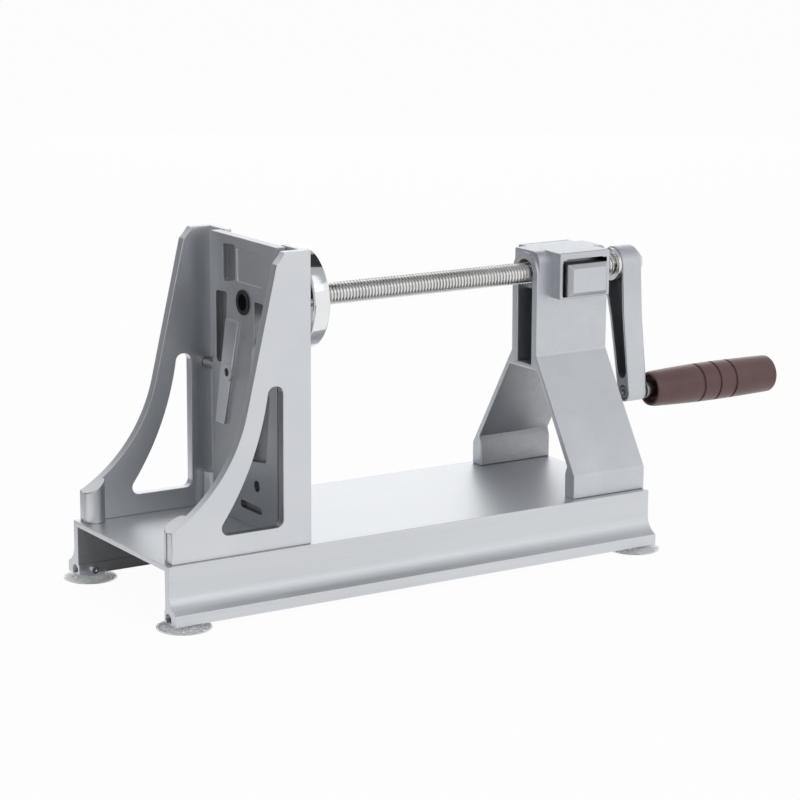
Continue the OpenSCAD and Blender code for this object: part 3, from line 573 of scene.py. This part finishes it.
POCKET_DEPTH = 3 * MM
POCKET_START = POCKET_DEPTH / 3
POCKET_SLACK = 0.2 * MM
POCKET_RIM = 1.5 * MM
RIB_RISE = 0.3 * MM
CORE_LIP = 0.8 * MM
# Places on the bracket's side, along x and z from its lower corner
WINDOW_LOW = Vector((37, 5)) * MM
WINDOW_HIGH = Vector((68, 87)) * MM
WINDOW_MIDDLE = Vector((57, 40)) * MM
plate_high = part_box("blade_plate")[1]
core_low, core_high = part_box("core_tube")
plate_face = core_low.x + CORE_LIP
bracket_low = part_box("near_bracket")[0]


def in_pocket(point, normal):
    """Whether a face lies in one of the plate's deep pockets."""
    depth = point.x - plate_face
    inner = abs(point.y) < plate_high.y - POCKET_RIM and point.z < plate_high.z - POCKET_RIM
    return inner and POCKET_START < depth < POCKET_DEPTH + POCKET_SLACK


def on_rib(point, normal):
    """Whether a face is the front of the plate's rib."""
    return normal.x < -FACING and point.x < plate_face - RIB_RISE


def in_window(point, normal):
    """Whether a face is the near bracket's window wall."""
    across = (point - bracket_low).xz
    inner = all(low < place < high for low, place, high in zip(WINDOW_LOW, across, WINDOW_HIGH))
    return inner and abs(normal.y) < SQUARE and (WINDOW_MIDDLE - across).dot(normal.xz) > 0


def in_upper_pocket(point, normal):
    """Whether a face lies in the pocket above the core tube, which gets the lighter painted shade."""
    return point.z > core_high.z and in_pocket(point, normal)


# Painted shade: the deeper one in the plate's pockets and on the near bracket's window wall, the lighter
# one in the pocket above the core tube; the rib's front gets the blasted look
look_inside(eased_pieces["blade_plate"], "painted_deep_shade", in_pocket)
look_inside(eased_pieces["blade_plate"], "inside", in_upper_pocket)
look_inside(eased_pieces["blade_plate"], "blasted", on_rib)
look_inside(eased_pieces["near_bracket"], "painted_deep_shade", in_window)


# Crank arm, whose outer edge has a wide round

ARM_ROUND = 2.4 * MM
ARM_SEGMENTS = 5
ARM_EASE = 0.6 * MM
BORE_REACH = 4.6 * MM
# The part of the arm's inner hollow that gets painted shade
ARM_HOLLOW_DEPTH = 8.4 * MM
# Share of the arm's length and the hollow's half width there
ARM_HOLLOW_WIDTHS = ((0.0, 9.3 * MM), (0.4, 6.1 * MM), (1.0, 4.5 * MM))
ARM_HOLLOW_ENDS = (0.1, 0.93)


def rounded_arm():
    """The crank arm with a wide round on its outer face and painted shade in the hollow of its inner one.
    """
    low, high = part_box("crank_arm")
    bores = [middle_of("lead_screw"), middle_of("grip_axle")]

    def outer(edge):
        on_face = all(vertex.co.x > high.x - TOUCH for vertex in edge.verts)
        rim = on_face and edge.calc_face_angle(0.0) > SHARP
        return rim and all((edge_middle(edge) - bore).yz.length > BORE_REACH for bore in bores)

    def hollow(point, normal):
        along = (bores[1] - bores[0]).yz
        share = (point - bores[0]).yz.dot(along) / along.length_squared
        aside = abs((point - bores[0]).yz.cross(along)) / along.length
        deep = RIM_LIGHT < point.x - low.x < ARM_HOLLOW_DEPTH
        for (start, first), (end, last) in zip(ARM_HOLLOW_WIDTHS, ARM_HOLLOW_WIDTHS[1:]):
            if start <= share <= end and aside < first + (last - first) * (share - start) / (end - start):
                return deep and ARM_HOLLOW_ENDS[0] < share < ARM_HOLLOW_ENDS[1]
        return False

    work = cad_copy("crank_arm")
    round_edges(work, outer, ARM_ROUND, ARM_SEGMENTS)
    look_inside(eased("crank_arm", ARM_EASE, work=work), "painted_deep_shade", hollow)


rounded_arm()


# Turned and moulded pieces

LATHE_SEGMENTS = 128
CURVE_STEPS = 5
CURVE_SHARE = 0.45


def rounded(profile, reach):
    """A lathe's profile with an easy curve at each corner between its ends."""
    points = [Vector(corner) for corner in profile]
    result = [points[0]]
    for before, corner, after in zip(points, points[1:], points[2:]):
        start = corner + (before - corner).normalized() * min(reach, (before - corner).length * CURVE_SHARE)
        end = corner + (after - corner).normalized() * min(reach, (after - corner).length * CURVE_SHARE)
        for step in range(CURVE_STEPS + 1):
            t = step / CURVE_STEPS
            result.append(start * (1 - t) ** 2 + corner * 2 * t * (1 - t) + end * t ** 2)
    result.append(points[-1])
    return [tuple(point) for point in result]


def spun(work, profile, centre, segments, upright=False):
    """Rings about an axis along x, or z if upright, from (place, radius) pairs; radius 0 closes an end."""
    rings = []
    for along, radius in profile:
        ring = []
        for i in range(segments if radius else 1):
            across = radius * math.cos(math.tau * i / segments), radius * math.sin(math.tau * i / segments)
            if upright:
                ring.append(work.verts.new((centre.x + across[0], centre.y + across[1], along)))
            else:
                ring.append(work.verts.new((along, centre.y + across[0], centre.z + across[1])))
        rings.append(ring)
    for first, second in zip(rings, rings[1:]):
        for i in range(segments):
            j = (i + 1) % segments
            corners = []
            for point in (first[i % len(first)], first[j % len(first)],
                          second[j % len(second)], second[i % len(second)]):
                if point not in corners:
                    corners.append(point)
            work.faces.new(corners)


def lathe(node, profile, upright=False):
    """A smooth turned piece in place of a CAD node, about the middle of the node's box."""
    work = bmesh.new()
    spun(work, profile, middle_of(node), LATHE_SEGMENTS, upright)
    bmesh.ops.remove_doubles(work, verts=work.verts, dist=TURNED_WELD)
    piece = piece_from(work, node + "_turned")
    smooth_by_angle(piece.data, SMOOTH)
    stands_for(piece, node)


DISC_EDGE = 1 * MM
DISC_CURVE = 0.5 * MM


def pusher_disc():
    low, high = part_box("pusher_disc")
    radius = (high.z - low.z) / 2
    lathe("pusher_disc", rounded([
        (low.x, 0), (low.x, radius - DISC_EDGE), (low.x + DISC_EDGE, radius),
        (high.x - DISC_EDGE, radius), (high.x, radius - DISC_EDGE), (high.x, 0),
    ], DISC_CURVE))


CUP_HUB = 5 * MM
CUP_DROP = 0.4 * MM
CUP_LIP = 0.5 * MM
CUP_SKIRT = 1.3 * MM
CUP_NECK = 2.05 * MM
CUP_BULB = 2.95 * MM
CUP_CURVE = 0.3 * MM
BULB_STEPS = 10


def suction_cup(node):
    """A cup with its skirt under the rail's foot and its bulb in the foot's slot."""
    low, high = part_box(node)
    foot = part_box("base_rail")[0].z
    rim = (high.x - low.x) / 2
    bulb_z = high.z - CUP_BULB
    neck_angle = math.degrees(math.acos(CUP_NECK / CUP_BULB))
    bulb = []
    for step in range(1, BULB_STEPS + 1):
        angle = math.radians(90 - (90 + neck_angle) * step / BULB_STEPS)
        bulb.append((bulb_z + CUP_BULB * math.sin(angle), CUP_BULB * math.cos(angle)))
    skirt = rounded([
        (foot, CUP_NECK), (foot, CUP_HUB), (foot - CUP_DROP, CUP_HUB + CUP_DROP), (low.z + CUP_LIP, rim),
        (low.z, rim), (low.z, rim - CUP_SKIRT), (foot - CUP_DROP - CUP_SKIRT, CUP_HUB),
        (foot - CUP_DROP - CUP_SKIRT, 0),
    ], CUP_CURVE)
    lathe(node, [(high.z, 0), *bulb, *skirt], upright=True)


GRIP_ROOT = 10.2 * MM
GRIP_END = 10.8 * MM
GRIP_ROUND = 2 * MM
GRIP_CHAMFER = 0.5 * MM
GRIP_BORE = 3.56 * MM
GRIP_HOLLOW_DEPTH = 4 * MM
GRIP_HOLLOW_WALL = 1.8 * MM
SOCKET_DEPTH = 14.3 * MM
SOCKET_FIT = 0.02 * MM
GROOVE_PLACES = (32.8 * MM, 44.6 * MM, 56.4 * MM)
GROOVE_DEPTH = 0.9 * MM
GROOVE_FLOOR = 0.5 * MM
GROOVE_MOUTH = 0.9 * MM
BARREL_STEPS = 40
END_STEPS = 8


def turned_grip():
    """The grip's barrel with its ring grooves, its hollow end and the socket of its cap."""
    low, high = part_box("grip")
    length = high.x - low.x
    belly = (high.z - low.z) / 2
    cap_low, cap_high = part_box("grip_cap")
    socket = (cap_high.z - cap_low.z) / 2 + SOCKET_FIT

    def skin(along):
        start = GRIP_ROOT if along < length / 2 else GRIP_END
        return start + (belly - start) * math.sin(math.pi * along / length)

    body = length - GRIP_ROUND
    places = [body * step / BARREL_STEPS for step in range(1, BARREL_STEPS + 1)]
    outline = [(along, skin(along)) for along in places
               if all(abs(along - place) > GROOVE_MOUTH for place in GROOVE_PLACES)]
    for place in GROOVE_PLACES:
        for side in (-1, 1):
            outline.append((place + side * GROOVE_MOUTH, skin(place)))
            outline.append((place + side * GROOVE_FLOOR, skin(place) - GROOVE_DEPTH))
    outline.sort()
    for step in range(1, END_STEPS + 1):
        angle = math.pi / 2 * step / END_STEPS
        drop = GRIP_ROUND * (1 - math.cos(angle))
        outline.append((body + GRIP_ROUND * math.sin(angle), skin(body) - drop))
    inner = GRIP_ROOT - GRIP_HOLLOW_WALL
    root = [(GRIP_HOLLOW_DEPTH, GRIP_BORE), (GRIP_HOLLOW_DEPTH, inner), (0, inner),
            (0, GRIP_ROOT - GRIP_CHAMFER)]
    tip = [(length, socket), (length - SOCKET_DEPTH, socket), (length - SOCKET_DEPTH, GRIP_BORE),
           (GRIP_HOLLOW_DEPTH, GRIP_BORE)]
    lathe("grip", [(low.x + along, radius) for along, radius in root + outline + tip])


pusher_disc()
turned_grip()
for cup in ("cup_blade_near", "cup_blade_far", "cup_crank_near", "cup_crank_far"):
    suction_cup(cup)


# Lead screw with its thread

LEAD = 2 * MM
THREAD_DEPTH = 1.1 * MM
# Share of a turn and share of the depth at each corner of the thread's section
THREAD_SECTION = ((0.0, 0.0), (0.14, 1.0), (0.5, 1.0), (0.64, 0.0), (1.0, 0.0))
THREAD_STEPS = 30
THREAD_SMOOTH = math.radians(28)
SPIGOT_RADIUS = 4 * MM
SPIGOT_SEGMENTS = 48


def threaded_bar():
    """The screw's thread, which fades out at both ends, with the spigots for the disc and the arm."""
    low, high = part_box("lead_screw")
    disc_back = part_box("pusher_disc")[1].x
    arm_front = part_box("crank_arm")[0].x
    axis = middle_of("lead_screw")
    crest = (high.z - low.z) / 2
    work = bmesh.new()
    turns = (arm_front - disc_back) / LEAD
    steps = int(turns * THREAD_STEPS)
    rows = []
    for step in range(steps + 1):
        angle = math.tau * step / THREAD_STEPS
        row = []
        for share, height in THREAD_SECTION:
            x = disc_back + LEAD * (step / THREAD_STEPS + share - 1)
            x = min(max(x, disc_back), arm_front)
            fade = min(1.0, (x - disc_back) / LEAD, (arm_front - x) / LEAD)
            radius = crest - THREAD_DEPTH * (1 - height * max(fade, 0.0))
            across = radius * math.cos(angle), radius * math.sin(angle)
            row.append(work.verts.new((x, axis.y + across[0], axis.z + across[1])))
        rows.append(row)
    for first, second in zip(rows, rows[1:]):
        for k in range(len(first) - 1):
            work.faces.new((first[k], first[k + 1], second[k + 1], second[k]))
    bmesh.ops.remove_doubles(work, verts=work.verts, dist=TURNED_WELD)
    bmesh.ops.dissolve_degenerate(work, edges=work.edges, dist=TURNED_WELD)
    bmesh.ops.holes_fill(work, edges=[edge for edge in work.edges if edge.is_boundary])
    for start, end in ((low.x, disc_back + LEAD), (arm_front - LEAD, high.x)):
        profile = [(start, 0), (start, SPIGOT_RADIUS), (end, SPIGOT_RADIUS), (end, 0)]
        spun(work, profile, axis, SPIGOT_SEGMENTS)
    piece = piece_from(work, "threaded_bar")
    smooth_by_angle(piece.data, THREAD_SMOOTH)
    stands_for(piece, "lead_screw")


threaded_bar()


# Floor, light and camera

UP = (0, 0, 1)
DOWN = (0, 0, -1)
FLOOR_SIZE = (14, 14)
FLOOR_COLOUR = (0.92, 0.92, 0.92, 1)
FLOOR_WHITE = 0.96
CARD_COLOUR = (0.94, 0.97, 1.0, 1)
SKY_COLOUR = (0.9, 0.95, 1.0, 1)
SKY_STRENGTH = 0.5
LAMP_TARGET = Vector((0, 0, 0.1))


def camera_white(tree, plain, share):
    """Mixes a plain shader with white that only camera, glossy and transmitted rays see."""
    path = tree.nodes.new("ShaderNodeLightPath")
    total = path.outputs["Is Camera Ray"]
    for ray in ("Is Glossy Ray", "Is Transmission Ray"):
        node = tree.nodes.new("ShaderNodeMath")
        node.operation = "MAXIMUM"
        tree.links.new(total, node.inputs[0])
        tree.links.new(path.outputs[ray], node.inputs[1])
        total = node.outputs["Value"]
    scaled = tree.nodes.new("ShaderNodeMath")
    scaled.operation = "MULTIPLY"
    scaled.inputs[1].default_value = share
    tree.links.new(total, scaled.inputs[0])
    white = tree.nodes.new("ShaderNodeEmission")
    white.inputs["Color"].default_value = (1, 1, 1, 1)
    white.inputs["Strength"].default_value = 1
    mix = tree.nodes.new("ShaderNodeMixShader")
    tree.links.new(scaled.outputs["Value"], mix.inputs["Fac"])
    tree.links.new(plain, mix.inputs[1])
    tree.links.new(white.outputs["Emission"], mix.inputs[2])
    return mix.outputs["Shader"]


def plane(name, size, place, facing):
    """A stage plane, size[0] by size[1], that looks along a direction."""
    work = bmesh.new()
    # A grid of size 0.5 is one metre wide
    bmesh.ops.create_grid(work, x_segments=1, y_segments=1, size=0.5)
    bmesh.ops.scale(work, vec=(*size, 1), verts=work.verts)
    turn = Vector(UP).rotation_difference(Vector(facing)).to_matrix().to_4x4()
    bmesh.ops.transform(work, matrix=Matrix.Translation(place) @ turn, verts=work.verts)
    piece = piece_from(work, name)
    return piece


def bare_surface(piece, name):
    """Gives a piece a material without a shader, and returns its tree and its surface socket."""
    material = bpy.data.materials.new(name)
    material.use_nodes = True
    piece.data.materials.append(material)
    tree = material.node_tree
    tree.nodes.remove(tree.nodes["Principled BSDF"])
    return tree, tree.nodes["Material Output"].inputs["Surface"]


def floor():
    """A pale floor that takes shadows and is nearly white to the camera."""
    piece = plane("floor", FLOOR_SIZE, (0, 0, 0), UP)
    tree, surface = bare_surface(piece, "pale_floor")
    paper = tree.nodes.new("ShaderNodeBsdfDiffuse")
    paper.inputs["Color"].default_value = FLOOR_COLOUR
    tree.links.new(camera_white(tree, paper.outputs["BSDF"], FLOOR_WHITE), surface)


def card(name, size, place, facing, glow):
    """A card that only shows in reflections, with an even grey glow."""
    piece = plane(name, size, place, facing)
    tree, surface = bare_surface(piece, name)
    grey = tree.nodes.new("ShaderNodeEmission")
    grey.inputs["Color"].default_value = CARD_COLOUR
    grey.inputs["Strength"].default_value = glow
    tree.links.new(grey.outputs["Emission"], surface)
    piece.visible_camera = False
    piece.visible_diffuse = False
    piece.visible_shadow = False
    piece.visible_transmission = False


def cards():
    """Dark cards on the floor, beside the exit end, behind and overhead, and a dim ceiling above them."""
    card("floor_card", (1.3, 1.0), (-1.05, 0.95, 2 * MM), UP, glow=0.2)
    card("near_card", (0.3, 0.37), (-0.42, 0.375, 3 * MM), UP, glow=0.03)
    card("side_card", (1.6, 1.6), (-1.3, 0.3, 0.6), (1, 0, 0), glow=0.2)
    card("back_card", (1.1, 1.1), (-0.85, 1.25, 0.45), (0.5, -0.85, 0), glow=0.3)
    card("front_card", (0.62, 0.82), (-0.54, -0.49, 2 * MM), UP, glow=0.06)
    # A dark card under the rail, painted shade that stands in for the rail's shadow on the floor in
    # reflections
    card("rail_card", (0.30, 0.1), (-0.057, 0, 1 * MM), UP, glow=0.06)
    card("high_card", (0.25, 0.27), (0.115, 0.015, 0.5), DOWN, glow=0.04)
    card("ceiling", (4.4, 3.0), (0.3, -0.8, 1.9), DOWN, glow=0.5)


def world():
    """A pale room that is white to the camera."""
    sky = bpy.data.worlds.new("studio")
    bpy.context.scene.world = sky
    sky.use_nodes = True
    tree = sky.node_tree
    room = tree.nodes["Background"]
    room.inputs["Color"].default_value = SKY_COLOUR
    room.inputs["Strength"].default_value = SKY_STRENGTH
    tree.links.new(camera_white(tree, room.outputs["Background"], 1.0),
                   tree.nodes["World Output"].inputs["Surface"])


def softbox(name, place, size, power):
    """A square lamp aimed at the middle of the object."""
    data = bpy.data.lights.new(name, "AREA")
    data.shape = "SQUARE"
    data.size = size
    data.energy = power
    lamp = bpy.data.objects.new(name, data)
    bpy.context.scene.collection.objects.link(lamp)
    lamp.location = place
    lamp.rotation_euler = (LAMP_TARGET - Vector(place)).to_track_quat("-Z", "Y").to_euler()
    lamp.visible_camera = False


CAMERA_PLACE = Vector((-0.8102, -1.2146, 0.4056))
CAMERA_YAW = math.radians(32.508)
CAMERA_PITCH = math.radians(12.369)
CAMERA_ROLL = math.radians(0.27)
CAMERA_LENS = 120.34
SENSOR_WIDTH = 36.0
CLIP_START = 0.05
CLIP_END = 40


def camera():
    """The photo's camera, as fitted to the object's edges."""
    data = bpy.data.cameras.new("camera")
    data.lens = CAMERA_LENS
    data.sensor_width = SENSOR_WIDTH
    data.sensor_fit = "HORIZONTAL"
    data.clip_start = CLIP_START
    data.clip_end = CLIP_END
    piece = bpy.data.objects.new("camera", data)
    bpy.context.scene.collection.objects.link(piece)
    flat = math.cos(CAMERA_PITCH)
    forward = Vector((math.sin(CAMERA_YAW) * flat, math.cos(CAMERA_YAW) * flat, -math.sin(CAMERA_PITCH)))
    right = Vector((math.cos(CAMERA_YAW), -math.sin(CAMERA_YAW), 0))
    up = right.cross(forward)
    cosine, sine = math.cos(CAMERA_ROLL), math.sin(CAMERA_ROLL)
    rolled_right = cosine * right + sine * up
    rolled_up = cosine * up - sine * right
    turn = Matrix((rolled_right, rolled_up, -forward)).transposed().to_4x4()
    piece.matrix_world = Matrix.Translation(CAMERA_PLACE) @ turn
    bpy.context.scene.camera = piece


floor()
cards()
world()
softbox("key", (0.3, -1.7, 1.5), size=1.6, power=5.5)
softbox("top", (0.1, 0.15, 1.6), size=1.2, power=4)
softbox("back", (1.0, 1.57, 0.65), size=1.2, power=2.3)
camera()
bpy.context.scene.view_settings.view_transform = "Standard"
